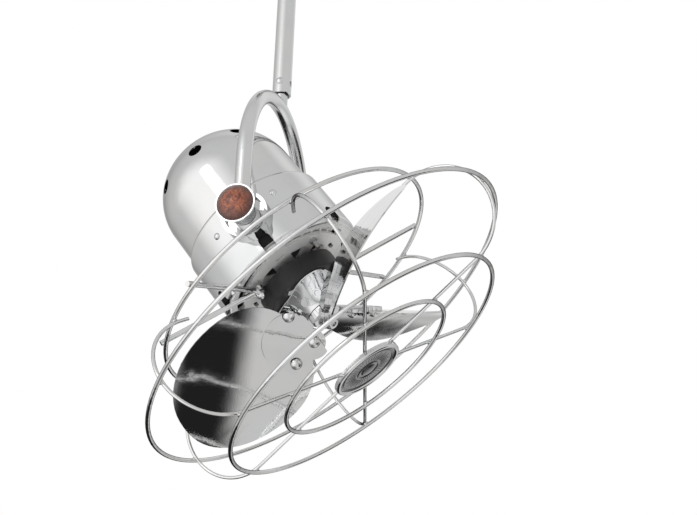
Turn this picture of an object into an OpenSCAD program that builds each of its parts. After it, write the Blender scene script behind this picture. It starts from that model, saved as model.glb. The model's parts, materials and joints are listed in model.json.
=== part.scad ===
// Ceiling-hung directional fan: a caged, tilting fan head in a bent-bar yoke under a downrod.
// Row frame: +Z up, origin on the ceiling plate's top face, tilt axis along X.
// Head frame: origin on the tilt axis, +Z along the air flow, +X along the tilt axis.

/* [Hanging] */
// Length of the downrod
rod_len = 254; // [150:1:600]
// Outer diameter of the downrod
rod_d = 24; // [22:0.5:30]
// Wall of the downrod
rod_wall = 2; // [1.5:0.1:3]
// Radius of the ceiling plate
plate_r = 61; // [56:1:61]
// Hole spacing of the ceiling plate
plate_pitch = 88.9; // [70:0.1:96]
// Outer radius of the canopy's rim
canopy_r = 66; // [64.5:0.5:90]
// Depth of the canopy
canopy_h = 58; // [50:1:90]

/* [Yoke] */
// Centre-line radius of the yoke's bend, half the distance between its legs
yoke_r = 121; // [120:1:135]
// Height of the bend's centre above the tilt axis
yoke_rise = 69; // [68:1:110]
// Diameter of the yoke's bar
bar_d = 18; // [14:0.5:20]
// Gap from the yoke's crown centre line to the downrod's end
crown_gap = 20; // [18:1:40]
// Diameter of the tilt studs
stud_d = 8; // [6:0.5:10]

/* [Head] */
// Angle of the air flow from straight down, at rest
tilt = 38; // [-90:1:90]
// Outer radius of the front band
band_r = 92; // [91:0.5:94]
// Where the band meets the rear shell, behind the tilt axis
seam_s = 40; // [38:1:50]
// How far the band reaches in front of the tilt axis
band_front = 45; // [43:1:46]
// Outer radius of the rear shell
shell_r = 86.5; // [84:0.5:88]
// How far the rear shell reaches behind the tilt axis
shell_back = 169.5; // [150:0.5:170]
// Radius of the rear shell's rounded shoulder
shoulder_r = 78; // [60:1:80]

/* [Guard] */
// Radius of the widest ring
wide_r = 240; // [236:1:250]
// Radius of the front outer ring and of the rear ring
outer_r = 180; // [176:1:184]
// Radius of the front inner ring
inner_r = 109; // [90:1:120]
// Distance from the tilt axis to the spokes' front run
guard_front = 188; // [186:1:196]
// Distance from the tilt axis to the rear ring
guard_rear = 58; // [56:1:60]
// Wire diameter of the rings
ring_wire = 5; // [4:0.5:6]
// Wire diameter of the spokes
spoke_wire = 4; // [3:0.5:5]
// Number of spokes
spokes = 6; // [6]
// Radius of the front medallion
medal_r = 43; // [36:1:50]

/* [Blades] */
// Number of blades
blades = 3; // [3]
// Angle of the first blade round the shaft
blade_phase = -99; // [-120:1:120]
// Pitch of a blade at its centre line
pitch = 43; // [30:1:45]
// Distance of the blades' centre lines in front of the tilt axis
blade_s = 96; // [95:0.5:98]
// Distance from the shaft to a blade's middle
blade_mid = 119; // [110:1:122]
// Half of a blade's length
blade_half_l = 84.5; // [70:0.5:85]
// Half of a blade's width
blade_half_w = 79; // [60:1:79]
// Sideways set of a blade from its centre line
blade_set = 18; // [0:1:20]
// Radius that the blade sheet is rolled to
roll_r = 217; // [200:1:400]
// Direction of the roll's axis from the blade's centre line
roll_dir = 48; // [0:1:50]
// Thickness of the blade sheet
sheet = 1.5; // [1:0.1:2]

/* [Hidden] */
$fn = 64;
slip = 0.06;                                    // radial clearance of a running fit
gap = 0.1;                                      // clearance between pieces of one body
plate_t = 4;
rod_r = rod_d / 2;
bar_r = bar_d / 2;
stud_r = stud_d / 2;
rod_top = -8;                                   // rod's upper end, inside its socket
rod_end = rod_top - rod_len;
crown_z = rod_end - crown_gap;                  // centre line of the yoke's crown
pivot_z = crown_z - yoke_r - yoke_rise;         // height of the tilt axis
cross_z = -26;                                  // height of the socket's cross bolt
set_z = rod_end + 15;                           // height of the lower set screw
plug_recess = 6;
lug_z = -9;                                     // height of the canopy's screws

eye_in = 113;                                   // inner face of the yoke's eyes, along X
eye_out = 129;
eye_r = 15;
eye_flat_r = 24;                                // how far the flats round an eye reach up the bar
boss_out = 110.5;                               // outer face of the bosses, along X
boss_r = 27;
knob_in = eye_out + 0.4;
knob_rim = 141;                                 // outer face of the knob's cup
knob_cup_r = 22.4;
knob_seat_r = 20.6;                             // radius of the knob's wooden cap

wall = 1.5;                                     // sheet of the shells
spider_s = 40;                                  // rear face of the front spider
spider_t = 4;
rear_spider_s = -34;
screw_ring = 60;                                // radius of the motor's through screws
stator_in = 32.4;
stator_out = 54;
stator_lo = -12;
stator_hi = 22;
shaft_r = 6;
fly_lo = 52;                                    // flywheel, along the shaft
fly_hi = 76;
fly_r = 51;
hub_r = 18;
hub_hi = 112;
shaft_lo = -43;
fly_screw_r = 42;                               // circle of the flywheel's screws
can_lo = -104;                                  // capacitor, along the shaft
can_h = 58;
strut_eye_r = 7;
medal_s = guard_front + spoke_wire / 2 + gap;   // rear face of the medallion
roll_x = 60;                                    // where the roll's axis crosses the blade's centre line
rivet_spots = [[36, -12], [27, 31], [58, 42]];
clamp_lobes = [[50, 15, 34], [58, 42, 13], [30, 31, 20]];
vent_s = -128;                                  // where the vents cross the shell, along the shaft
vent_lean = 64;                                 // angle of the vents' axes from the shaft
vent_from = vent_s + 77.5 / tan(vent_lean);     // where the vents' axes leave the shaft
lip_r = 6;                                      // rolled front edge of the band
seam_lip = 5;                                   // rolled rear edge of the band
rivet_s = -14;                                  // the band's rivets, along the shaft
rivet_turns = [-26, 26];                        // and round it from the tilt axis
slot_s = 24;                                    // rear end of the band's slots
eyelet_r = 56;                                  // small slots in the front spider
slot_w = 15;

ring_off = (ring_wire + spoke_wire) / 2 + gap;  // spoke centre to ring centre
hook_r = (guard_front - guard_rear - ring_off) / 2;
hook_s = guard_front - hook_r;                  // centre of the spokes' bend, along the shaft
bulge_r = wide_r - ring_off - hook_r;           // centre of the spokes' bend, from the shaft
spoke_phase = 45;
strut_d = 6;
strut_s = guard_rear - (ring_wire + strut_d) / 2 - gap;
strut_spread = 15.5;                            // half angle between a strut's two feet
strut_phase = 45;
nut_s = spider_s + spider_t;

// ---- frames and shared shapes ----

module head() {
    translate([0, 0, pivot_z]) rotate([180 - tilt, 0, 0]) children();
}

// Children made along +Z end up pointing out along X on one side of the tilt axis.
module side(s) {
    translate([0, 0, pivot_z]) rotate([0, 90 * s, 0]) children();
}

module ring(r_out, r_in, z0, z1) {
    translate([0, 0, z0]) difference() {
        cylinder(r = r_out, h = z1 - z0);
        translate([0, 0, -1]) cylinder(r = r_in, h = z1 - z0 + 2);
    }
}

module wire_ring(r, wire) {
    rotate_extrude() translate([r, 0]) circle(d = wire);
}

// A low dome on a flat base.
module dome(r, h) {
    ball = (r * r + h * h) / (2 * h);
    intersection() {
        translate([0, 0, h - ball]) sphere(r = ball);
        cylinder(r = r + 1, h = h + 1);
    }
}

// ---- hanging parts ----

module ceiling_plate() color("gray") {
    difference() {
        union() {
            translate([0, 0, -plate_t]) cylinder(r = plate_r, h = plate_t);
            for (s = [-1, 1]) translate([s * 54 - 5, -6, -16]) cube([10, 12, 14]);
        }
        translate([0, 0, -plate_t - 1]) cylinder(r = 9, h = plate_t + 2);
        for (s = [-1, 1]) {
            translate([0, s * plate_pitch / 2, -plate_t - 1]) cylinder(r = 2.75, h = plate_t + 2);
            translate([s * 48, 0, lug_z]) rotate([0, 90 * s, 0]) cylinder(r = 2.05, h = 20);
        }
    }
}

module rod_socket() color("gray") {
    difference() {
        translate([0, 0, -48]) ring(17, rod_r + slip, 0, 48 - plate_t);
        translate([0, 30, cross_z]) rotate([90, 0, 0]) cylinder(r = 3.1, h = 60);
    }
}

module canopy_profile(r, h) {
    intersection() {
        union() {
            translate([0, h - 30]) circle(r = 30);
            translate([0, -1]) square([r, h - 29]);
            translate([r - 30, h - 30]) circle(r = 30);
            square([r - 30, h]);
        }
        square([r, h]);
    }
}

module canopy() color("lightgray") {
    difference() {
        mirror([0, 0, 1]) rotate_extrude() difference() {
            canopy_profile(canopy_r, canopy_h);
            translate([0, -wall]) canopy_profile(canopy_r - wall, canopy_h);
            square([rod_r + 1, canopy_h + 1]);
        }
        for (s = [-1, 1])
            translate([s * 58, 0, lug_z]) rotate([0, 90 * s, 0]) cylinder(r = 2.3, h = 12);
    }
}

module canopy_screws() color("lightgray") {
    for (s = [-1, 1]) translate([s * 50, 0, lug_z]) rotate([0, 90 * s, 0]) {
        cylinder(r = 2, h = canopy_r - 50 + 1);
        translate([0, 0, canopy_r - 50 + gap]) dome(4.5, 2.5);
    }
}

module canopy_collar() color("lightgray") {
    translate([0, 0, -canopy_h - 8]) difference() {
        union() {
            cylinder(r = 17, h = 7.8);
            translate([0, 0, 4]) cylinder(r = 20, h = 3.8);
        }
        translate([0, 0, -1]) cylinder(r = rod_r + 0.1, h = 12);
    }
}

module downrod() color("lightgray") {
    difference() {
        ring(rod_r, rod_r - rod_wall, rod_end, rod_top);
        translate([0, 30, cross_z]) rotate([90, 0, 0]) cylinder(r = 3.1, h = 60);
        translate([0, 0, set_z]) rotate([0, -90, 0]) cylinder(r = 3.1, h = 20);
        translate([0, 0, set_z]) rotate([90, 0, 0]) cylinder(r = 4, h = 20);
    }
}

module cross_bolt() color("gray") {
    translate([0, -17.1, cross_z]) rotate([-90, 0, 0]) {
        cylinder(r = 3, h = 44);
        translate([0, 0, -4]) cylinder(r = 5.8, h = 4, $fn = 6);
        translate([0, 0, 34.3]) ring(5.8, 3 + slip, 0, 5);
    }
}

module rod_plug() color("gray") {
    ring(rod_r - rod_wall - 0.05, 8.05, rod_end + plug_recess, rod_end + 40);
}

module stem_set_screw() color("lightgray") {
    translate([0, 0, set_z]) rotate([0, -90, 0]) {
        translate([0, 0, rod_r - rod_wall + gap]) cylinder(r = 3, h = rod_wall);
        translate([0, 0, rod_r + gap / 2]) dome(4.6, 2.6);
    }
}

module yoke() color("silver") {
    difference() {
        union() {
            translate([0, 0, pivot_z + yoke_rise]) rotate([90, 0, 0])
                rotate_extrude(angle = 180) translate([yoke_r, 0]) circle(r = bar_r);
            for (s = [-1, 1]) {
                translate([s * yoke_r, 0, pivot_z + 4]) cylinder(r = bar_r, h = yoke_rise - 4);
                side(s) translate([0, 0, eye_in]) cylinder(r = eye_r, h = eye_out - eye_in);
            }
            translate([0, 0, crown_z]) cylinder(r = 8, h = crown_gap + 36);
        }
        for (s = [-1, 1]) side(s) {
            translate([0, 0, eye_in - 1]) cylinder(r = stud_r + slip, h = eye_out - eye_in + 2);
            translate([0, 0, eye_in - 10]) cylinder(r = eye_flat_r, h = 10);
            translate([0, 0, eye_out]) cylinder(r = eye_flat_r, h = 10);
        }
    }
}

// ---- housing ----

module shell_profile(r, back) {
    intersection() {
        union() {
            translate([r - shoulder_r, -back + shoulder_r]) circle(r = shoulder_r);
            translate([0, -back]) square([r - shoulder_r, shoulder_r]);
            translate([0, -back + shoulder_r]) square([r, back - shoulder_r - seam_s]);
        }
        translate([0, -back]) square([r, back - seam_s]);
    }
}

module rear_shell() color("silver") head() {
    difference() {
        rotate_extrude() difference() {
            shell_profile(shell_r, shell_back);
            translate([0, wall]) shell_profile(shell_r - wall, shell_back);
        }
        for (i = [0 : 7])
            rotate([0, 0, i * 45]) translate([0, 0, vent_from]) rotate([0, 180 - vent_lean, 0])
                translate([0, 0, 40]) cylinder(r = 9, h = 60);
    }
}

module obround(len, w) {
    translate([0, w / 2]) circle(d = w);
    translate([-w / 2, w / 2]) square([w, len]);
}

// A quarter bend of the band's sheet, inwards from its wall, at its front (1) or its rear (-1).
module bend(r, y, end) {
    translate([band_r - r, y]) intersection() {
        difference() {
            circle(r = r);
            circle(r = r - wall);
        }
        translate([0, end > 0 ? 0 : -r]) square([r, r]);
    }
}

module rivet_holes_across() {
    for (s = [-1, 1], a = rivet_turns)
        rotate([0, 0, a]) translate([0, 0, rivet_s]) rotate([0, 90 * s, 0]) cylinder(r = 2.1, h = 100);
}

module front_band() color("silver") head() {
    difference() {
        rotate_extrude() union() {
            translate([band_r - wall, seam_lip - seam_s])
                square([wall, band_front - lip_r + seam_s - seam_lip]);
            bend(lip_r, band_front - lip_r, 1);
            bend(seam_lip, seam_lip - seam_s, -1);
        }
        for (i = [0 : 5])
            rotate([0, 0, i * 60]) translate([band_r - 10, 0, slot_s]) rotate([90, 0, 90])
                linear_extrude(20) obround(20, slot_w);
        rivet_holes_across();
        for (s = [-1, 1]) rotate([0, 90 * s, 0]) cylinder(r = 14 + gap, h = 100);
    }
}

module pivot_bosses() color("silver") head() {
    for (s = [-1, 1]) rotate([0, 90 * s, 0]) difference() {
        translate([0, 0, 80]) cylinder(r = boss_r, h = boss_out - 80);
        rotate([0, 90, 0]) translate([0, 0, -60]) cylinder(r = band_r + gap, h = 120);
        translate([0, 0, boss_out - 7]) ring(23, 14.5, 0, 8);
        translate([0, 0, 70]) cylinder(r = stud_r + 0.05, h = 50);
    }
}

module pivot_studs() color("gray") head() {
    for (s = [-1, 1]) rotate([0, 90 * s, 0]) {
        translate([0, 0, 79.4]) cylinder(r = stud_r, h = 64);
        translate([0, 0, 75]) cylinder(r = 7.5, h = 4.4, $fn = 6);
    }
}

module pivot_washers() color("dimgray") head() {
    for (s = [-1, 1]) rotate([0, 90 * s, 0]) ring(14, stud_r + 0.05, boss_out, eye_in - 0.3);
}

module cradle_ring() color("gray") head() {
    difference() {
        ring(band_r - wall - 0.1, band_r - wall - 8, -20, 10);
        for (s = [-1, 1]) rotate([0, 90 * s, 0]) {
            translate([0, 0, 60]) cylinder(r = stud_r + 0.05, h = 50);
            translate([0, 0, 60]) cylinder(r = 8, h = 20);
        }
        rivet_holes_across();
    }
}

module band_rivets() color("silver") head() {
    for (s = [-1, 1], a = rivet_turns)
        rotate([0, 0, a]) translate([0, 0, rivet_s]) rotate([0, 90 * s, 0]) {
            translate([0, 0, 81]) cylinder(r = 2, h = band_r - 81 + 0.5);
            translate([0, 0, band_r + gap]) dome(4, 2.4);
        }
}

// ---- motor ----

module screw_holes(r) {
    for (i = [0 : 3]) rotate([0, 0, 45 + i * 90]) translate([screw_ring, 0, -60]) cylinder(r = r, h = 120);
}

module stator_core() color("dimgray") head() {
    difference() {
        ring(stator_out, stator_in, stator_lo, stator_hi);
        for (i = [0 : 17]) rotate([0, 0, i * 20]) translate([stator_in + 4, -2.2, stator_lo - 1])
            cube([12, 4.4, stator_hi - stator_lo + 2]);
    }
}

module stator_windings() color("peru") head() {
    rotate_extrude() translate([43, stator_lo - 7.2]) circle(r = 7);
    rotate_extrude() translate([43, stator_hi + 7.2]) circle(r = 7);
}

module spider_arms(r, w, n, a0) {
    for (i = [0 : n - 1]) rotate([0, 0, a0 + i * 360 / n]) translate([20, -w / 2]) square([r - 20, w]);
}

module front_spider() color("silver") head() {
    difference() {
        translate([0, 0, spider_s]) linear_extrude(spider_t) difference() {
            union() {
                circle(r = 24);
                spider_arms(band_r - lip_r - 1, 26, 4, 0);
                spider_arms(screw_ring + 7, 14, 4, 45);
                difference() {
                    circle(r = screw_ring + 9);
                    circle(r = screw_ring - 9);
                }
                difference() {
                    circle(r = band_r - lip_r - gap);
                    circle(r = band_r - lip_r - 8);
                }
            }
            for (i = [0 : 3]) rotate(i * 90) translate([eyelet_r, 0]) {
                translate([0, -4]) circle(r = 2.5);
                translate([0, 4]) circle(r = 2.5);
                translate([-2.5, -4]) square([5, 8]);
            }
        }
        translate([0, 0, spider_s - 1]) cylinder(r = 14.05, h = spider_t + 2);
        screw_holes(2.6);
    }
}

module rear_spider() color("gray") head() {
    difference() {
        translate([0, 0, rear_spider_s - spider_t]) linear_extrude(spider_t) union() {
            circle(r = 24);
            spider_arms(screw_ring + 7, 14, 4, 45);
            difference() {
                circle(r = screw_ring + 7);
                circle(r = screw_ring - 7);
            }
        }
        translate([0, 0, rear_spider_s - spider_t - 1]) cylinder(r = 14.05, h = spider_t + 2);
        screw_holes(2.6);
    }
}

module motor_screws() color("gray") head() {
    for (i = [0 : 3]) rotate([0, 0, 45 + i * 90]) translate([screw_ring, 0, 0]) {
        translate([0, 0, -46]) cylinder(r = 2.5, h = nut_s + 46 + 13);
        translate([0, 0, rear_spider_s - spider_t - 4]) cylinder(r = 5, h = 3.9, $fn = 6);
    }
}

module bearings() color("gray") head() {
    ring(14, shaft_r + slip, spider_s, spider_s + 7);
    ring(14, shaft_r + slip, rear_spider_s - 7, rear_spider_s);
}

module run_capacitor() color("dimgray") head() {
    translate([0, 0, can_lo]) cylinder(r = 17, h = can_h);
    for (s = [-1, 1]) translate([s * 16.5 - 2, -3, can_lo + can_h - 6])
        cube([4, 6, rear_spider_s - spider_t - gap - can_lo - can_h + 6]);
}

// ---- guard ----

module guard_ring(r, s) head() translate([0, 0, s]) wire_ring(r, ring_wire);

module guard_spoke(i) head() rotate([0, 0, spoke_phase + i * 360 / spokes]) {
    translate([26, 0, guard_front]) rotate([0, 90, 0]) cylinder(d = spoke_wire, h = bulge_r - 26);
    translate([bulge_r, 0, hook_s]) rotate([90, 0, 0])
        rotate_extrude(angle = 180, start = -90) translate([hook_r, 0]) circle(d = spoke_wire);
    translate([bulge_r - 9, 0, hook_s - hook_r]) rotate([0, 90, 0]) cylinder(d = spoke_wire, h = 9);
}

// One bent strut: two rods from the rear ring that meet at a flat eye under a nut.
module guard_strut(i) head() rotate([0, 0, strut_phase + i * 180]) {
    foot_x = (outer_r + 3) * cos(strut_spread);
    foot_y = (outer_r + 3) * sin(strut_spread);
    eye_x = screw_ring;
    run = sqrt((foot_x - eye_x) * (foot_x - eye_x) + foot_y * foot_y);
    dir = atan2(foot_y, foot_x - eye_x);
    difference() {
        union() {
            for (s = [-1, 1]) translate([eye_x, 0, strut_s]) rotate([0, 0, s * dir])
                translate([5, 0, 0]) rotate([0, 90, 0]) cylinder(d = strut_d, h = run - 5);
            translate([eye_x, 0, strut_s - strut_d / 2]) cylinder(r = strut_eye_r, h = strut_d);
        }
        translate([eye_x, 0, strut_s - 10]) cylinder(r = 2.6, h = 20);
    }
}

module strut_nuts() color("silver") head() {
    for (i = [0, 1]) rotate([0, 0, strut_phase + i * 180]) translate([screw_ring, 0, strut_s + strut_d / 2 + gap]) {
        difference() {
            union() {
                cylinder(r = 5.6, h = 4, $fn = 6);
                translate([0, 0, 4]) dome(4.8, 4.6);
            }
            translate([0, 0, -1]) cylinder(r = 2.6, h = 5.5);
        }
    }
}

module stud_nuts() color("silver") head() {
    for (i = [0 : 3]) rotate([0, 0, 45 + i * 90]) translate([screw_ring, 0, nut_s + gap / 2])
        difference() {
            cylinder(r = 5.2, h = 3.4, $fn = 6);
            translate([0, 0, -1]) cylinder(r = 2.6, h = 8);
        }
}

module medallion() color("silver") head() translate([0, 0, medal_s]) rotate_extrude() {
    difference() {
        union() {
            square([medal_r, 4]);
            translate([medal_r - 3, 3.5]) circle(r = 3);
        }
        translate([0, 2.6]) square([medal_r - 6.4, 6]);
        translate([0, -5]) square([medal_r + 5, 5]);
    }
}

module medallion_inlay() color("black") head() translate([0, 0, medal_s + 2.6 + gap / 2])
    cylinder(r = medal_r - 6.5, h = 1.6);

// ---- rotor ----

module motor_shaft() color("gray") head() translate([0, 0, shaft_lo])
    cylinder(r = shaft_r, h = hub_hi - shaft_lo + 12);

module rotor_core() color("dimgray") head() ring(stator_in - 0.5, shaft_r + 0.02, stator_lo - 2, stator_hi + 2);

module flywheel() color("black") head() {
    difference() {
        ring(fly_r, shaft_r + 0.02, fly_lo, fly_hi);
        for (i = [0 : 5]) rotate([0, 0, i * 60 + 20]) translate([fly_screw_r, 0, fly_lo - 1]) cylinder(r = 2.6, h = 40);
    }
}

module flywheel_screws() color("silver") head() {
    for (i = [0 : 5]) rotate([0, 0, i * 60 + 20]) translate([fly_screw_r, 0, fly_lo + 4]) {
        cylinder(r = 2.5, h = fly_hi - fly_lo - 4 + 0.5);
        translate([0, 0, fly_hi - fly_lo - 4 + gap]) cylinder(r = 4.2, h = 2.6);
    }
}

// Carries children into a blade's own frame: X out along the centre line, Z off its front face.
module at_blade(i) {
    head() rotate([0, 0, blade_phase + i * 360 / blades]) translate([0, 0, blade_s])
        rotate([pitch, 0, 0]) children();
}

// A layer of the rolled sheet, from depth d0 to d1 behind the blade's front face.
module rolled(d0, d1) {
    translate([roll_x, 0, roll_r]) rotate([0, 0, roll_dir]) rotate([0, 90, 0]) translate([0, 0, -220])
        ring(roll_r + d1, roll_r + d0, 0, 440);
}

function power(x, n) = sign(x) * pow(abs(x), n);

// A broad, blunt oval.
module blade_outline() {
    blunt = 2 / 2.25;
    polygon([for (a = [0 : 6 : 354])
        [blade_mid + blade_half_l * power(cos(a), blunt), blade_set + blade_half_w * power(sin(a), blunt)]]);
}

module rivet_holes() {
    for (p = rivet_spots) translate([p[0], p[1], -20]) cylinder(r = 2.1, h = 40);
}

module blade(i) color("gainsboro") at_blade(i) difference() {
    intersection() {
        rolled(0, sheet);
        translate([0, 0, -10]) linear_extrude(60) blade_outline();
    }
    rivet_holes();
    translate([0, 0, -60]) cylinder(r = 22, h = 120);
}

module blade_clamps() color("silver") for (i = [0 : blades - 1]) at_blade(i) difference() {
    intersection() {
        rolled(-1.6, -0.05);
        translate([0, 0, -20]) linear_extrude(60) for (c = clamp_lobes) translate([c[0], c[1]]) circle(r = c[2]);
        translate([20, -60, -20]) cube([90, 120, 60]);
    }
    rivet_holes();
}

module blade_iron(i) color("silver") at_blade(i) difference() {
    intersection() {
        rolled(sheet + 0.05, sheet + 4);
        translate([0, 0, -20]) linear_extrude(60) {
            for (c = clamp_lobes) translate([c[0], c[1]]) circle(r = c[2] - 3);
            translate([10, -9]) square([30, 26]);
        }
    }
    rivet_holes();
    rotate([-pitch, 0, 0]) translate([0, 0, -60]) cylinder(r = hub_r + gap, h = 120);
}

// Depth of the rolled front face at a spot on the blade.
function roll_depth(p) = let(q = p[1] * cos(roll_dir) - (p[0] - roll_x) * sin(roll_dir))
    roll_r - sqrt(roll_r * roll_r - q * q);

module blade_rivets() color("silver") for (i = [0 : blades - 1]) at_blade(i)
    for (p = rivet_spots) translate([p[0], p[1], roll_depth(p)]) {
        translate([0, 0, -sheet - 3.6]) cylinder(r = 2, h = sheet + 8.4);
        translate([0, 0, 3.4]) dome(7, 4.4);
    }

module blade_hub() color("silver") head() difference() {
    union() {
        translate([0, 0, fly_hi + 3]) cylinder(r = 26, h = 4);
        translate([0, 0, fly_hi + gap]) cylinder(r = hub_r, h = hub_hi - fly_hi - gap);
    }
    cylinder(r = shaft_r + 0.02, h = 200);
}

module hub_nut() color("silver") head() translate([0, 0, hub_hi + gap]) difference() {
    union() {
        cylinder(r = 11, h = 9, $fn = 6);
        translate([0, 0, 9]) dome(9.4, 8);
    }
    translate([0, 0, -1]) cylinder(r = shaft_r + 0.02, h = 13.2);
}

// ---- knobs ----

module knob_cup(s) color("silver") side(s) translate([0, 0, knob_in]) difference() {
    rotate_extrude() union() {
        square([13, knob_rim - knob_in]);
        intersection() {
            translate([knob_cup_r - 14, knob_rim - knob_in]) circle(r = 14);
            square([knob_cup_r, knob_rim - knob_in]);
        }
        square([knob_cup_r - 12, 6]);
    }
    translate([0, 0, -1]) cylinder(r = stud_r + slip, h = 20);
    translate([0, 0, knob_rim - knob_in - 2.5]) cylinder(r = knob_seat_r + 0.3, h = 5);
}

module knob_cap(s) color("saddlebrown") side(s) translate([0, 0, knob_rim - 2.4]) difference() {
    union() {
        cylinder(r = knob_seat_r, h = 3);
        translate([0, 0, 3]) dome(knob_seat_r, 9);
    }
    translate([0, 0, -1]) cylinder(r = stud_r + 0.4, h = 7);
}

ceiling_plate();
rod_socket();
canopy();
canopy_screws();
canopy_collar();
downrod();
cross_bolt();
rod_plug();
stem_set_screw();
yoke();
rear_shell();
front_band();
pivot_bosses();
pivot_studs();
pivot_washers();
cradle_ring();
band_rivets();
stator_core();
stator_windings();
front_spider();
rear_spider();
motor_screws();
bearings();
run_capacitor();
color("silver") guard_ring(wide_r, hook_s);  // guard_ring_wide
color("silver") guard_ring(outer_r, guard_front + ring_off);  // guard_ring_front
color("silver") guard_ring(inner_r, guard_front + ring_off);  // guard_ring_inner
color("silver") guard_ring(outer_r, guard_rear);  // guard_ring_rear
color("silver") guard_spoke(0);  // guard_spoke_1
color("silver") guard_spoke(1);  // guard_spoke_2
color("silver") guard_spoke(2);  // guard_spoke_3
color("silver") guard_spoke(3);  // guard_spoke_4
color("silver") guard_spoke(4);  // guard_spoke_5
color("silver") guard_spoke(5);  // guard_spoke_6
color("silver") guard_strut(0);  // guard_strut_1
color("silver") guard_strut(1);  // guard_strut_2
strut_nuts();
stud_nuts();
medallion();
medallion_inlay();
motor_shaft();
rotor_core();
flywheel();
flywheel_screws();
blade_hub();
blade_iron(0);  // blade_iron_1
blade_iron(1);  // blade_iron_2
blade_iron(2);  // blade_iron_3
blade(0);  // blade_1
blade(1);  // blade_2
blade(2);  // blade_3
blade_clamps();
blade_rivets();
hub_nut();
knob_cup(-1);  // knob_cup_left
knob_cup(1);  // knob_cup_right
knob_cap(-1);  // knob_cap_left
knob_cap(1);  // knob_cap_right
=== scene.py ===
import json
import math
import bmesh
import bpy
from mathutils import Matrix, Vector, noise


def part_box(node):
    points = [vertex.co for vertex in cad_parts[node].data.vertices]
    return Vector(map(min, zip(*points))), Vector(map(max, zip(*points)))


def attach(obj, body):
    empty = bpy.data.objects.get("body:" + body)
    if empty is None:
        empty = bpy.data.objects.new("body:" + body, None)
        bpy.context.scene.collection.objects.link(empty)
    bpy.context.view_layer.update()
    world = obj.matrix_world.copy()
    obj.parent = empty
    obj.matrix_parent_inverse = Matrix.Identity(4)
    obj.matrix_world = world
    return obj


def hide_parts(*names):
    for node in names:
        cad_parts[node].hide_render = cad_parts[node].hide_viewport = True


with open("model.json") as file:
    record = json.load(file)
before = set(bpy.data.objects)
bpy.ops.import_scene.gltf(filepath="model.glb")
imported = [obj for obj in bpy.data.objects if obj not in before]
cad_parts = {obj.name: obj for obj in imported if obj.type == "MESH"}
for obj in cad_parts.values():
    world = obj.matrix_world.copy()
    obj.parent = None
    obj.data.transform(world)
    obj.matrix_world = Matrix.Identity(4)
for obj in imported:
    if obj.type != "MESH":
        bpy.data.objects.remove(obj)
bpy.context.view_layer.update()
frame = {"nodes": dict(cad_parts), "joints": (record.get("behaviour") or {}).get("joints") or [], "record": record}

# The head's own frame: z runs along the air flow and x along the tilt axis
tiltJoint = next(j for j in frame["joints"] if j["name"] == "head_tilt")
spinJoint = next(j for j in frame["joints"] if j["name"] == "rotor_spin")
pivot = Vector(tiltJoint["pos_m"])
flow = Vector(spinJoint["axis"]).normalized()
sideways = flow.cross(Vector((1, 0, 0)))
headFrame = Matrix(((1, 0, 0), sideways, flow)).transposed().to_4x4()
headFrame.translation = pivot
headLean = math.atan2(sideways.z, sideways.y)
mm = 0.001
print("frame loaded, tilt axis at", [round(v, 4) for v in pivot])


# Node wiring

class Wire:                                          # an output socket that can be used in sums
    def __init__(self, graph, socket):
        self.graph, self.socket = graph, socket

    def maths(self, operation, *values):
        return self.graph.node("ShaderNodeMath", {"operation": operation}, dict(enumerate(values)))

    def __add__(self, other):
        return self.maths("ADD", self, other)

    def __radd__(self, other):
        return self.maths("ADD", other, self)

    def __sub__(self, other):
        return self.maths("SUBTRACT", self, other)

    def __rsub__(self, other):
        return self.maths("SUBTRACT", other, self)

    def __mul__(self, other):
        return self.maths("MULTIPLY", self, other)

    def __rmul__(self, other):
        return self.maths("MULTIPLY", other, self)

    def eased(self, low, high):                      # 0 below low, 1 above high, soft between
        return self.graph.node("ShaderNodeMapRange", {"interpolation_type": "SMOOTHSTEP"},
                               {"Value": self, "From Min": low, "From Max": high})


class Graph:                                         # one node tree
    def __init__(self, tree):
        self.tree = tree
        tree.nodes.clear()

    def node(self, kind, settings=None, sockets=None, out=0):
        made = self.tree.nodes.new(kind)
        for key, value in (settings or {}).items():
            if key == "stops":
                for spot, colour in value[1:-1]:
                    made.color_ramp.elements.new(spot)
                for stop, (spot, colour) in zip(made.color_ramp.elements, value):
                    stop.position, stop.color = spot, (*colour, 1)
            else:
                setattr(made, key, value)
        for key, value in (sockets or {}).items():
            if isinstance(value, Wire):
                self.tree.links.new(value.socket, made.inputs[key])
            else:
                made.inputs[key].default_value = value
        return Wire(self, made.outputs[out]) if made.outputs else made

    def mixed(self, share, first, second):           # two colours
        tint = [(*c, 1) if isinstance(c, tuple) else c for c in (first, second)]
        return self.node("ShaderNodeMix", {"data_type": "RGBA"}, {0: share, 6: tint[0], 7: tint[1]}, 2)

    def place(self, scale=(1, 1, 1)):                # the piece's own coordinates, stretched
        spot = self.node("ShaderNodeTexCoord", None, None, "Object")
        return self.node("ShaderNodeMapping", None, {"Vector": spot, "Scale": scale})

    def headPlace(self):                             # coordinates in the head's frame
        spot = self.node("ShaderNodeTexCoord", None, None, "Object")
        return self.node("ShaderNodeMapping", {"vector_type": "TEXTURE"},
                         {"Vector": spot, "Location": tuple(pivot), "Rotation": (headLean, 0, 0)})

    def grain(self, place, scale, detail=4.0, bend=0.0):
        return self.node("ShaderNodeTexNoise", None,
                         {"Vector": place, "Scale": scale, "Detail": detail, "Distortion": bend})

    def relief(self, height, strength, depth):
        return self.node("ShaderNodeBump", None, {"Strength": strength, "Distance": depth, "Height": height})


def newFinish(name, solidColour):
    material = bpy.data.materials.new(name)
    material.use_nodes = True
    material.diffuse_color = (*solidColour, 1)
    return material, Graph(material.node_tree)


def coat(graph, sockets):                            # the surface shader and the output, last of all
    surface = graph.node("ShaderNodeBsdfPrincipled", None, sockets)
    graph.node("ShaderNodeOutputMaterial", None, {"Surface": surface})


# Finishes

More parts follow.
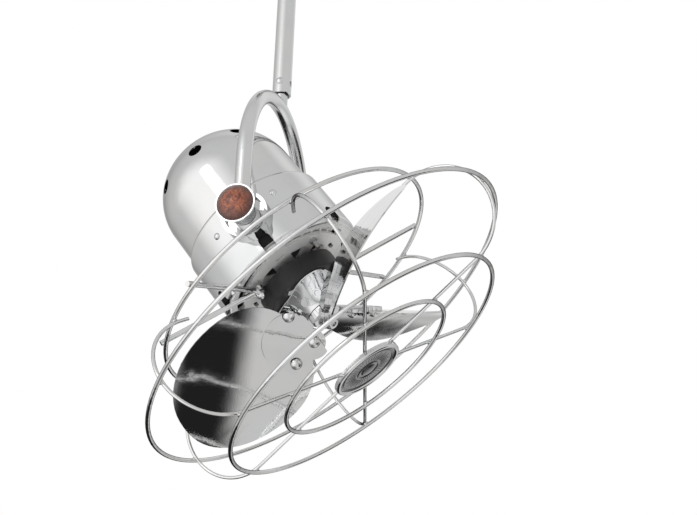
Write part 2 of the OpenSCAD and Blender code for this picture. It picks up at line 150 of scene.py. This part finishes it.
chromeLook = {
    "mirrorChrome": {"tint": (0.86, 0.865, 0.87), "edge": 0.5,
                     "gloss": 0.035, "haze": 0.06, "ripple": 0.13, "rippleSize": 22.0},
    "bladeChrome": {"tint": (0.88, 0.885, 0.89), "edge": 0.8,
                    "gloss": 0.03, "haze": 0.05, "ripple": 0.5, "rippleSize": 12.0},
    "wireChrome": {"tint": (0.92, 0.925, 0.93), "edge": 0.05,
                   "gloss": 0.045, "haze": 0.05, "ripple": 0.16, "rippleSize": 75.0},
    "brushedAlloy": {"tint": (0.86, 0.86, 0.85), "metal": 0.5, "edge": 1.0,
                     "gloss": 0.52, "haze": 0.12, "ripple": 0.15, "rippleSize": 70.0},
    "satinChrome": {"tint": (0.86, 0.865, 0.87), "edge": 0.6,
                    "gloss": 0.13, "haze": 0.12, "ripple": 0.06, "rippleSize": 30.0},
}


def chromePlate(name):
    look = chromeLook[name]
    material, graph = newFinish(name, look["tint"])
    place = graph.place()
    haze = graph.grain(place, 26.0, 6.0).eased(0.42, 0.72)               # wiped areas and finger haze
    specks = graph.node("ShaderNodeTexVoronoi", None, {"Vector": place, "Scale": 900.0})
    dust = (1 - specks.eased(0.05, 0.16)) * graph.grain(place, 140.0, 2.0).eased(0.5, 0.62)
    swirls = graph.grain(graph.place((60, 900, 900)), 1.0, 3.0).eased(0.45, 0.75)   # polishing marks
    rough = look["gloss"] + haze * look["haze"] + dust * 0.12 + swirls * 0.02
    warm = graph.grain(place, 9.0, 3.0).eased(0.35, 0.7)
    duller = tuple(c * 0.93 for c in look["tint"])
    colour = graph.mixed(haze * 0.5 + dust * 0.3, graph.mixed(warm, look["tint"], (0.87, 0.86, 0.845)), duller)
    swell = graph.grain(place, look["rippleSize"], 2.0, 0.6)
    height = swell + specks * 0.004 + swirls * 0.01
    coat(graph, {"Base Color": colour, "Metallic": look.get("metal", 1.0), "Roughness": rough,
                 "Specular Tint": (look["edge"], look["edge"], look["edge"], 1),
                 "Normal": graph.relief(height, look["ripple"], 0.003)})
    return material


def zincSteel():
    material, graph = newFinish("zincSteel", (0.55, 0.56, 0.57))
    place = graph.place()
    spangle = graph.node("ShaderNodeTexVoronoi", {"feature": "SMOOTH_F1"}, {"Vector": place, "Scale": 240.0})
    cloud = graph.grain(place, 55.0, 5.0)
    colour = graph.node("ShaderNodeValToRGB", {"stops": [(0.25, (0.36, 0.36, 0.35)), (0.5, (0.56, 0.56, 0.56)),
                                                         (0.75, (0.70, 0.70, 0.68))]}, {0: cloud})
    lathe = graph.grain(graph.place((40, 1400, 1400)), 1.0, 2.0)
    coat(graph, {"Base Color": colour, "Metallic": 1.0, "Roughness": 0.26 + cloud * 0.22 + spangle * 0.2,
                 "Normal": graph.relief(lathe + spangle * 0.4, 0.25, 0.0004)})
    return material


def laminatedSteel():
    material, graph = newFinish("laminatedSteel", (0.14, 0.13, 0.13))
    spot = graph.headPlace()
    axes = graph.node("ShaderNodeSeparateXYZ", None, {0: spot}, "Z")
    sheets = graph.node("ShaderNodeTexNoise", {"noise_dimensions": "1D"},
                        {"W": axes * 1900.0, "Scale": 1.0, "Detail": 1.0})
    stain = graph.grain(graph.place(), 70.0, 4.0)
    colour = graph.mixed(sheets.eased(0.4, 0.6), (0.10, 0.085, 0.075), (0.24, 0.22, 0.20))
    coat(graph, {"Base Color": graph.mixed(stain * 0.6, colour, (0.09, 0.05, 0.03)), "Metallic": 0.7,
                 "Roughness": 0.42 + stain * 0.2, "Normal": graph.relief(sheets, 0.5, 0.0003)})
    return material


def enamelledWire():
    material, graph = newFinish("enamelledWire", (0.50, 0.22, 0.10))
    place = graph.place()
    shade = graph.grain(place, 130.0, 4.0)
    colour = graph.node("ShaderNodeValToRGB", {"stops": [(0.3, (0.16, 0.05, 0.02)), (0.5, (0.42, 0.17, 0.07)),
                                                         (0.72, (0.62, 0.31, 0.14))]}, {0: shade})
    soot = graph.grain(place, 32.0, 5.0).eased(0.48, 0.66)
    coat(graph, {"Base Color": graph.mixed(soot * 0.7, colour, (0.06, 0.035, 0.025)), "Metallic": 0.55,
                 "Roughness": 0.24 + soot * 0.35, "Coat Weight": 0.6, "Coat Roughness": 0.15,
                 "Normal": graph.relief(shade, 0.3, 0.0003)})
    return material


def darkMoulding(name, colour, rough, grainSize, depth):                 # rubber, fibre, black plastics and the painted-shade linings
    material, graph = newFinish(name, colour)
    place = graph.place()
    pebble = graph.node("ShaderNodeTexVoronoi", {"feature": "SMOOTH_F1"}, {"Vector": place, "Scale": grainSize})
    bloom = graph.grain(place, 48.0, 5.0).eased(0.45, 0.75)
    paler = tuple(c * 2.2 + 0.012 for c in colour)
    lint = graph.grain(place, 700.0, 2.0).eased(0.66, 0.72)
    coat(graph, {"Base Color": graph.mixed(bloom * 0.5 + lint * 0.25, colour, paler),
                 "Roughness": rough + bloom * 0.14, "Specular IOR Level": 0.45,
                 "Normal": graph.relief(pebble + bloom * 0.4, 0.35, depth)})
    return material


def blackEnamel():
    material, graph = newFinish("blackEnamel", (0.012, 0.012, 0.013))
    place = graph.place()
    peel = graph.grain(place, 420.0, 2.0)
    marks = graph.grain(graph.place((1200, 90, 90)), 1.0, 3.0).eased(0.6, 0.72)
    coat(graph, {"Base Color": graph.mixed(marks * 0.5, (0.010, 0.010, 0.011), (0.045, 0.045, 0.05)),
                 "Roughness": 0.16 + marks * 0.2, "Coat Weight": 0.8, "Coat Roughness": 0.06,
                 "Normal": graph.relief(peel, 0.08, 0.0005)})
    return material


def burlWood():
    material, graph = newFinish("burlWood", (0.30, 0.09, 0.05))
    place = graph.place()
    figure = graph.grain(place, 120.0, 7.0, 1.8)
    fleck = graph.grain(place, 620.0, 4.0, 0.5)
    eyes = graph.node("ShaderNodeTexVoronoi", {"feature": "F1"}, {"Vector": place, "Scale": 330.0})
    colour = graph.node("ShaderNodeValToRGB", {"stops": [
        (0.32, (0.030, 0.005, 0.002)), (0.43, (0.170, 0.030, 0.010)), (0.51, (0.330, 0.074, 0.023)),
        (0.62, (0.470, 0.130, 0.042)), (0.78, (0.560, 0.200, 0.080))]}, {0: figure * 0.72 + fleck * 0.28})
    pores = (1 - eyes.eased(0.10, 0.34)) * fleck.eased(0.42, 0.6)
    colour = graph.mixed(pores * 0.85, colour, (0.035, 0.008, 0.006))
    spot = graph.node("ShaderNodeTexCoord", None, None, "Object")
    centred = graph.node("ShaderNodeVectorMath", {"operation": "SUBTRACT"}, {0: spot, 1: tuple(pivot)})
    flat = graph.node("ShaderNodeVectorMath", {"operation": "MULTIPLY"}, {0: centred, 1: (0, 1, 1)})
    reach = graph.node("ShaderNodeVectorMath", {"operation": "LENGTH"}, {0: flat}, "Value")
    rimShade = reach.eased(8.5 * mm, 20.5 * mm)                              # painted shade: the wood darkens towards the knob's outline
    colour = graph.mixed(rimShade * 0.86, colour, (0.050, 0.010, 0.007))
    coat(graph, {"Base Color": colour, "Roughness": 0.36 + pores * 0.2, "Coat Weight": 1.0,
                 "Coat Roughness": 0.09, "Coat IOR": 1.55,
                 "Normal": graph.relief(figure - pores * 0.5, 0.12, 0.0004)})
    return material


def wireSleeve(name, colour):                                            # insulated lead
    material, graph = newFinish(name, colour)
    place = graph.place()
    worn = graph.grain(place, 90.0, 4.0)
    darker = tuple(c * 0.55 for c in colour)
    coat(graph, {"Base Color": graph.mixed(worn, colour, darker), "Roughness": 0.38 + worn * 0.15,
                 "Normal": graph.relief(graph.grain(place, 800.0, 2.0), 0.2, 0.0002)})
    return material


finishes = {name: chromePlate(name) for name in chromeLook}
finishes["zincSteel"] = zincSteel()
finishes["laminatedSteel"] = laminatedSteel()
finishes["enamelledWire"] = enamelledWire()
finishes["blackRubber"] = darkMoulding("blackRubber", (0.012, 0.011, 0.011), 0.42, 900.0, 0.0002)
finishes["darkFibre"] = darkMoulding("darkFibre", (0.07, 0.055, 0.045), 0.7, 1500.0, 0.0003)
# painted shade: near-black finishes for the linings inside the shell and the band
finishes["shellShadePaint"] = darkMoulding("shellShadePaint", (0.030, 0.022, 0.018), 0.75, 1200.0, 0.0002)
finishes["bandShadePaint"] = darkMoulding("bandShadePaint", (0.004, 0.004, 0.004), 0.85, 1200.0, 0.0002)
finishes["blackEnamel"] = blackEnamel()
finishes["burlWood"] = burlWood()
finishes["redLead"] = wireSleeve("redLead", (0.45, 0.03, 0.02))
finishes["whiteLead"] = wireSleeve("whiteLead", (0.70, 0.68, 0.62))
finishes["laceCord"] = wireSleeve("laceCord", (0.55, 0.50, 0.40))
print("finishes made:", len(finishes))

slotFinish = {"chrome": "mirrorChrome", "blade_chrome": "bladeChrome", "zinc_steel": "zincSteel",
              "lamination": "laminatedSteel", "copper_winding": "enamelledWire", "black_rubber": "blackRubber",
              "fibre": "darkFibre", "black_plastic": "blackEnamel", "burl_wood": "burlWood"}
ownFinish = {"yoke": "satinChrome", "downrod": "satinChrome", "front_spider": "brushedAlloy"}
for part in frame["record"]["subparts"]:
    name = part["node"]
    usual = "wireChrome" if name.startswith("guard_") else slotFinish[part["material_slot"]]
    slots = frame["nodes"][name].data.materials
    slots.clear()
    slots.append(finishes[ownFinish.get(name, usual)])
print("finishes given to", len(frame["nodes"]), "nodes")


# Making pieces

def addPiece(name, shape, finish, body, smooth=True, replaces=()):
    mesh = bpy.data.meshes.new(name)
    bmesh.ops.recalc_face_normals(shape, faces=shape.faces)
    shape.to_mesh(mesh)
    shape.free()
    for face in mesh.polygons:
        face.use_smooth = smooth
    piece = bpy.data.objects.new(name, mesh)
    bpy.context.scene.collection.objects.link(piece)
    mesh.materials.append(finishes[finish])
    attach(piece, body)
    if replaces:
        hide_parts(*replaces)
    print("piece", name, len(mesh.polygons), "faces")
    return piece


def tube(shape, path, radius, sides=8, closed=False):
    count = len(path)
    rings = []
    first = (path[1] - path[0]).normalized()
    normal = first.orthogonal().normalized()
    for i, point in enumerate(path):
        ahead = path[(i + 1) % count] if closed or i < count - 1 else point
        behind = path[i - 1] if closed or i else point
        along = (ahead - behind).normalized()
        normal = (normal - along * normal.dot(along)).normalized()
        other = along.cross(normal)
        size = radius(i / (count - 1)) if callable(radius) else radius
        rings.append([shape.verts.new(point + (normal * math.cos(t) + other * math.sin(t)) * size)
                      for t in (2 * math.pi * k / sides for k in range(sides))])
    for i in range(count if closed else count - 1):
        here, there = rings[i], rings[(i + 1) % count]
        for k in range(sides):
            shape.faces.new((here[k], here[(k + 1) % sides], there[(k + 1) % sides], there[k]))
    if not closed:
        shape.faces.new(rings[0][::-1])
        shape.faces.new(rings[-1])


def lump(shape, centre, axes, size, seed):           # a small uneven bead of weld metal
    place = Matrix.Translation(centre) @ axes @ Matrix.Diagonal((*size, 1))
    made = bmesh.ops.create_icosphere(shape, subdivisions=2, radius=1, matrix=place)["verts"]
    for corner in made:
        push = noise.noise(corner.co * 700 + Vector((seed, 0, 0)))
        corner.co += (corner.co - centre) * push * 0.35


def lathe(shape, profile, steps, keep=None):         # turned round the head's z, profile of (radius, along)
    rows = [[shape.verts.new(headFrame @ Vector((r * math.cos(t), r * math.sin(t), s)))
             for t in (2 * math.pi * k / steps for k in range(steps))] for r, s in profile]
    for low, high in zip(rows, rows[1:]):
        for k in range(steps):
            face = (low[k], low[(k + 1) % steps], high[(k + 1) % steps], high[k])
            middle = headFrame.inverted() @ (sum((v.co for v in face), Vector()) / 4)
            if keep is None or keep(middle):
                shape.faces.new(face)
    loose = [corner for row in rows for corner in row if not corner.link_faces]
    bmesh.ops.delete(shape, geom=loose, context="VERTS")


def onHead(radius, degrees, along):
    turn = math.radians(degrees)
    return headFrame @ Vector((radius * math.cos(turn), radius * math.sin(turn), along))


def alongFlow(node):                                 # how far a node's middle is in front of the tilt axis
    low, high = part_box(node)
    return ((low + high) / 2 - pivot).dot(flow)


def ringRadius(node):
    low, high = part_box(node)
    return (high.x - low.x) / 2 - guard["ringWire"] / 2


# Guard: the small welds where the rings cross the spokes
guard = {"ringWire": 5 * mm, "firstSpoke": 45, "spokes": 6, "weldSize": 2.1 * mm,
         "tackRing": 34 * mm, "tackSize": (2.6 * mm, 2.6 * mm, 1.4 * mm)}
welds = bmesh.new()
for k in range(guard["spokes"]):
    turn = guard["firstSpoke"] + 360 * k / guard["spokes"]
    axes = headFrame.to_3x3().to_4x4() @ Matrix.Rotation(math.radians(turn), 4, "Z")
    half = guard["ringWire"] / 2 + 0.05 * mm
    long, short = guard["weldSize"] * 1.5, guard["weldSize"] * 0.75
    spots = [(ringRadius("guard_ring_wide") - half, alongFlow("guard_ring_wide"), (short, long, long)),
             (ringRadius("guard_ring_front"), alongFlow("guard_ring_front") - half, (long, long, short)),
             (ringRadius("guard_ring_inner"), alongFlow("guard_ring_inner") - half, (long, long, short)),
             (ringRadius("guard_ring_rear"), alongFlow("guard_ring_rear") + half, (long, long, short))]
    for j, (radius, along, size) in enumerate(spots):
        lump(welds, onHead(radius, turn, along), axes, size, k * 7 + j)
medalBack = alongFlow("medallion") - 2 * mm
for k in range(guard["spokes"]):                     # and the tack welds behind the medallion
    turn = guard["firstSpoke"] + 360 * k / guard["spokes"]
    lump(welds, onHead(guard["tackRing"], turn, medalBack - 1.2 * mm), headFrame.to_3x3().to_4x4(),
         guard["tackSize"], k + 60)
addPiece("guardWelds", welds, "wireChrome", "fan_head")

# Motor: enamelled wire wound round both ends of the core, laced with cord
winding = {"radius": 43 * mm, "bundle": 6.2 * mm, "wire": 0.95 * mm, "wires": 22, "twists": 3, "steps": 90,
           "coreLow": -12 * mm, "coreHigh": 22 * mm, "gap": 7.2 * mm}
lacing = {"count": 18, "steps": 18, "out": 7.3 * mm, "rise": 7.0 * mm, "cord": 0.7 * mm}
coils, laces = bmesh.new(), bmesh.new()
for middle in (winding["coreLow"] - winding["gap"], winding["coreHigh"] + winding["gap"]):
    for w in range(winding["wires"]):
        path = []
        for k in range(winding["steps"]):
            turn = 2 * math.pi * k / winding["steps"]
            sway = 2 * math.pi * w / winding["wires"] + winding["twists"] * turn
            bulge = winding["bundle"] * (0.94 + 0.06 * math.sin(9 * turn + w * 2.4))
            out = winding["radius"] + bulge * math.cos(sway)
            path.append(headFrame @ Vector((out * math.cos(turn), out * math.sin(turn),
                                            middle + bulge * math.sin(sway))))
        tube(coils, path, winding["wire"], 6, True)
    for k in range(lacing["count"]):
        turn = 2 * math.pi * (k + 0.3) / lacing["count"]
        loop = []
        for j in range(lacing["steps"]):
            sway = 2 * math.pi * j / lacing["steps"]
            out = winding["radius"] + lacing["out"] * math.cos(sway)
            twist = turn + 0.02 * math.sin(sway)
            loop.append(headFrame @ Vector((out * math.cos(twist), out * math.sin(twist),
                                            middle + lacing["rise"] * math.sin(sway))))
        tube(laces, loop, lacing["cord"], 6, True)
addPiece("windingWires", coils, "enamelledWire", "fan_head", replaces=("stator_windings",))
addPiece("windingLaces", laces, "laceCord", "fan_head")

# Leads from the capacitor to the windings
leads = {"leadRed": {"finish": "redLead", "start": 20, "turn": 50},
         "leadWhite": {"finish": "whiteLead", "start": 200, "turn": -50}}
leadShape = {"wire": 1.3 * mm, "steps": 24, "from": 9, "reach": 29, "bow": 17,
             "start": -104.5, "dip": 9, "rise": 80}
for name, way in leads.items():
    lead = bmesh.new()
    path = []
    for k in range(leadShape["steps"] + 1):
        t = k / leadShape["steps"]
        radius = leadShape["from"] + leadShape["reach"] * t + leadShape["bow"] * math.sin(math.pi * t)
        dip = leadShape["dip"] * math.sin(math.pi * min(1, t * 1.6))
        along = leadShape["start"] - dip + leadShape["rise"] * t * t
        path.append(onHead(radius * mm, way["start"] + way["turn"] * t, along * mm))
    tube(lead, path, leadShape["wire"], 8)
    addPiece(name, lead, way["finish"], "fan_head")

# Painted shade: dark linings inside the shell and the band stand in for the shade inside them
lining = {"shell": 84.4 * mm, "shoulder": 75.9 * mm, "back": -167.4 * mm, "seam": -43 * mm,
          "band": 89.8 * mm, "bandRear": 10.6 * mm, "bandFront": 38 * mm, "bevel": 1 * mm}
vent = {"count": 8, "from": Vector((0, 0, -90.2 * mm)), "slope": -0.488, "clear": 11.5 * mm}


def clearOfVents(spot):
    reach = spot - vent["from"]
    for k in range(vent["count"]):
        turn = 2 * math.pi * k / vent["count"]
        way = Vector((math.cos(turn), math.sin(turn), vent["slope"])).normalized()
        if reach.dot(way) > 0 and (reach - way * reach.dot(way)).length < vent["clear"]:
            return False
    return True


inner = bmesh.new()
profile = [(lining["shell"], lining["seam"]), (lining["shell"], lining["back"] + lining["shoulder"])]
for k in range(1, 31):
    bend = math.pi / 2 * k / 30
    profile.append((lining["shell"] - lining["shoulder"] * (1 - math.cos(bend)),
                    lining["back"] + lining["shoulder"] * (1 - math.sin(bend))))
lathe(inner, profile, 180, clearOfVents)
addPiece("shellShadeLining", inner, "shellShadePaint", "fan_head")
sleeve = bmesh.new()
lathe(sleeve, [(lining["band"] - lining["bevel"], lining["bandRear"]),
               (lining["band"], lining["bandRear"] + lining["bevel"]),
               (lining["band"], lining["bandFront"] - lining["bevel"]),
               (lining["band"] - lining["bevel"], lining["bandFront"])], 128)
addPiece("bandShadeLining", sleeve, "bandShadePaint", "fan_head")

# Threads on the ends of the motor's screws, in front of the spider
stud = {"count": 4, "ring": 60 * mm, "radius": 2.45 * mm, "pitch": 0.8 * mm, "ridge": 0.28 * mm,
        "from": 44.2 * mm, "to": 56.8 * mm}
threads = bmesh.new()
for k in range(stud["count"]):
    turn = math.radians(45 + 90 * k)
    middle = Vector((stud["ring"] * math.cos(turn), stud["ring"] * math.sin(turn), 0))
    steps = int((stud["to"] - stud["from"]) / stud["pitch"] * 12)
    path = [headFrame @ (middle + Vector((stud["radius"] * math.cos(math.pi * j / 6),
                                          stud["radius"] * math.sin(math.pi * j / 6),
                                          stud["from"] + stud["pitch"] * j / 12))) for j in range(steps)]
    tube(threads, path, stud["ridge"], 5)
addPiece("studThreads", threads, "zincSteel", "fan_head")

# Medallion: plain raised rays and rings on the dark inlay
relief = {"rays": 40, "from": 17 * mm, "to": 30 * mm, "rise": 0.4 * mm, "shorter": 2.5 * mm,
          "rings": ((14.0, 1.0), (33.5, 0.8), (35.4, 0.5)), "boss": 9.5 * mm, "bossRise": 2.6 * mm}
plate = bmesh.new()
faceAlong = alongFlow("medallion_inlay") + 0.8 * mm
for k in range(relief["rays"]):
    turn = 360 * k / relief["rays"]
    length = relief["to"] - (relief["shorter"] if k % 2 else 0) - relief["from"]
    tube(plate, [onHead(relief["from"] + length * j / 6, turn, faceAlong) for j in range(7)],
         lambda t: relief["rise"] * (0.55 + 0.45 * math.sin(math.pi * min(1, t + 0.1))), 8)
for radius, size in relief["rings"]:
    tube(plate, [onHead(radius * mm, 360 * j / 96, faceAlong) for j in range(96)], size * mm, 8, True)
dome = [(0.02 * mm, faceAlong + relief["bossRise"])]
for j in range(1, 11):
    bend = math.pi / 2 * j / 10
    dome.append((relief["boss"] * math.sin(bend), faceAlong + relief["bossRise"] * math.cos(bend)))
lathe(plate, dome, 64)
addPiece("medallionRelief", plate, "blackEnamel", "fan_head")

# Hub: the folded bright cover between the drum and the blades, with its bolts
cover = {"foot": 41.5 * mm, "footAlong": 76.6 * mm, "top": 19 * mm, "topAlong": 103 * mm, "flare": 1.35,
         "lift": 1.15, "fold": 0.17, "lobes": 3, "lobeAt": -202, "rows": 16, "columns": 120, "hem": 1.0 * mm,
         "bolts": 9, "firstBolt": -39, "boltAt": 0.62, "boltHead": 3.6 * mm}
boltParts = ((32, 1.55, 1.2 * mm), (6, 1.0, 4.2 * mm))        # sides, size and depth of washer and head
skirt, bolts = bmesh.new(), bmesh.new()


def coverSpot(t, degrees):                           # t from 0 at the foot to 1 at the top
    fold = 1 + cover["fold"] * (1 - t) * math.cos(math.radians(cover["lobes"] * (degrees - cover["lobeAt"])))
    low = (1 - t) ** cover["flare"]
    radius = cover["foot"] * fold * low + cover["top"] * (1 - low)
    rise = (cover["topAlong"] - cover["footAlong"]) * t ** cover["lift"]
    return onHead(radius, degrees, cover["footAlong"] + rise)


columns = cover["columns"]
rows = [[skirt.verts.new(coverSpot(j / cover["rows"], 360 * k / columns)) for k in range(columns)]
        for j in range(cover["rows"] + 1)]
for low, high in zip(rows, rows[1:]):
    for k in range(columns):
        skirt.faces.new((low[k], low[(k + 1) % columns], high[(k + 1) % columns], high[k]))
tube(skirt, [coverSpot(0, 360 * k / columns) + flow * 0.6 * mm for k in range(columns)], cover["hem"], 8, True)
for k in range(cover["bolts"]):
    turn = cover["firstBolt"] + 360 * k / cover["bolts"]
    middle = coverSpot(cover["boltAt"], turn)
    across = (coverSpot(cover["boltAt"], turn + 4) - middle).normalized()
    rise = (coverSpot(cover["boltAt"] + 0.05, turn) - middle).normalized()
    axes = Matrix((across, rise, across.cross(rise))).transposed().to_4x4()
    for sides, size, depth in boltParts:
        bmesh.ops.create_cone(bolts, cap_ends=True, segments=sides, radius1=cover["boltHead"] * size,
                              radius2=cover["boltHead"] * size * 0.93, depth=depth,
                              matrix=Matrix.Translation(middle) @ axes)
addPiece("hubCover", skirt, "bladeChrome", "rotor")
addPiece("hubBolts", bolts, "mirrorChrome", "rotor", smooth=False)

# Motor: the ribbed end plate that closes one side behind the front spider
endPlate = {"inner": 50 * mm, "outer": 87 * mm, "along": 38.4 * mm, "lip": 1 * mm, "bevel": 3 * mm,
            "from": 106, "to": 214, "ribs": 9, "ribInset": 8, "ribFrom": 57, "ribLength": 23}
plate = bmesh.new()


def onPlate(spot):
    return endPlate["from"] < math.degrees(math.atan2(spot.y, spot.x)) % 360 < endPlate["to"]


lathe(plate, [(endPlate["inner"], endPlate["along"] - endPlate["lip"]), (endPlate["inner"], endPlate["along"]),
              (endPlate["outer"] - endPlate["bevel"], endPlate["along"]),
              (endPlate["outer"], endPlate["along"] - endPlate["bevel"])], 120, onPlate)
sweep = endPlate["to"] - endPlate["from"] - 2 * endPlate["ribInset"]
for k in range(endPlate["ribs"]):
    turn = endPlate["from"] + endPlate["ribInset"] + sweep * k / (endPlate["ribs"] - 1)
    tube(plate, [onHead((endPlate["ribFrom"] + endPlate["ribLength"] * j / 8) * mm, turn, endPlate["along"])
                 for j in range(9)],
         lambda t: (0.7 + 1.3 * math.sin(math.pi * min(1, max(0, t)))) * mm, 8)
addPiece("endPlate", plate, "brushedAlloy", "fan_head")


# Camera
view = {"azimuth": 283.54, "elevation": -20.70, "roll": 1.517, "lens": 52.0,
        "back": 1.2117, "right": 0.0907, "up": -0.0070, "shift": -0.004}
azimuth, elevation, roll = (math.radians(view[k]) for k in ("azimuth", "elevation", "roll"))
backward = Vector((math.sin(azimuth) * math.cos(elevation), -math.cos(azimuth) * math.cos(elevation),
                   math.sin(elevation)))
horizon = Vector((math.cos(azimuth), math.sin(azimuth), 0))
plumb = backward.cross(horizon)
rightward = horizon * math.cos(roll) + plumb * math.sin(roll)
upward = plumb * math.cos(roll) - horizon * math.sin(roll)
camera = bpy.data.objects.new("camera", bpy.data.cameras.new("camera"))
bpy.context.scene.collection.objects.link(camera)
camera.matrix_world = Matrix((rightward, upward, backward)).transposed().to_4x4()
camera.location = pivot + backward * view["back"] + rightward * view["right"] + upward * view["up"]
camera.data.lens, camera.data.sensor_width, camera.data.shift_y = view["lens"], 36.0, view["shift"]
camera.data.clip_start = 0.01
bpy.context.scene.camera = camera
print("camera set")

# Studio: a pale floor far below, a pale tent all round with bright and dark patches, and soft lamps.
# A patch is its turn, height, core and edge in degrees, and how much it adds or takes away.
studio = {"floorZ": -2.6, "floorSize": 40.0, "tent": 0.60,
          "glow": [(150, -8, 14, 62, 0.46), (5, 38, 14, 50, 0.38),
                   (345, -28, 8, 24, 0.2), (154, 21, 3, 10, 1.3)],
          "gaps": [(37, -36, 24, 33, 0.97), (287, -25, 13, 29, 0.975),
                   (100, -62, 8, 34, 0.4), (60, -78, 12, 32, 0.6)]}
floorShape = bmesh.new()
bmesh.ops.create_grid(floorShape, x_segments=8, y_segments=8, size=studio["floorSize"])
floorMesh = bpy.data.meshes.new("floor")
floorShape.to_mesh(floorMesh)
floorShape.free()
floorMaterial, floorGraph = newFinish("paleFloor", (0.86, 0.86, 0.85))
floorMottle = floorGraph.grain(floorGraph.place(), 3.0, 3.0)
coat(floorGraph, {"Base Color": floorGraph.mixed(floorMottle, (0.86, 0.86, 0.85), (0.82, 0.82, 0.815)),
                  "Roughness": 0.7, "Emission Color": (1, 1, 1, 1), "Emission Strength": 0.3})
floorMesh.materials.append(floorMaterial)
floor = bpy.data.objects.new("floor", floorMesh)
bpy.context.scene.collection.objects.link(floor)
floor.location.z = studio["floorZ"]
floor.visible_glossy = False

world = bpy.data.worlds.new("studio")
world.use_nodes = True
bpy.context.scene.world = world
sky = Graph(world.node_tree)
looking = sky.node("ShaderNodeTexCoord", None, None, "Generated")


def toward(turn, height):
    turn, height = math.radians(turn), math.radians(height)
    return (math.cos(turn) * math.cos(height), math.sin(turn) * math.cos(height), math.sin(height))


def patch(turn, height, core, edge):                 # 1 within core degrees of a direction, 0 beyond edge
    nearness = sky.node("ShaderNodeVectorMath", {"operation": "DOT_PRODUCT"},
                        {0: looking, 1: toward(turn, height)}, "Value")
    return nearness.eased(math.cos(math.radians(edge)), math.cos(math.radians(core)))


brightness = studio["tent"]
for turn, height, core, edge, amount in studio["glow"]:
    brightness = patch(turn, height, core, edge) * amount + brightness
for turn, height, core, edge, amount in studio["gaps"]:
    brightness = (1 - patch(turn, height, core, edge) * amount) * brightness
shade = sky.node("ShaderNodeCombineColor", None, {0: brightness, 1: brightness, 2: brightness})
seen = sky.node("ShaderNodeLightPath", None, None, "Is Camera Ray")
light = sky.node("ShaderNodeBackground", None,
                 {"Color": sky.mixed(seen, shade, (1.0, 1.0, 1.0)), "Strength": 1.0})
sky.node("ShaderNodeOutputWorld", None, {"Surface": light})

lamps = {"keyLamp": {"spot": (-0.85, 0.9, 0.8), "size": 0.24, "power": 1.7},
         "sideLamp": {"spot": (1.3, 0.5, 0.6), "size": 0.7, "power": 4.0},
         "lowLamp": {"spot": (0.3, -1.3, 0.8), "size": 0.6, "power": 3.0}}
for name, lamp in lamps.items():
    data = bpy.data.lights.new(name, "AREA")
    data.shape, data.size, data.energy = "DISK", lamp["size"], lamp["power"]
    made = bpy.data.objects.new(name, data)
    bpy.context.scene.collection.objects.link(made)
    x, y, z = lamp["spot"]
    made.location = pivot + rightward * x + upward * y + backward * z
    made.rotation_mode = "QUATERNION"
    made.rotation_quaternion = (made.location - pivot).to_track_quat("Z", "Y")
    made.visible_glossy = False
bpy.context.scene.view_settings.view_transform = "Standard"
print("studio set")
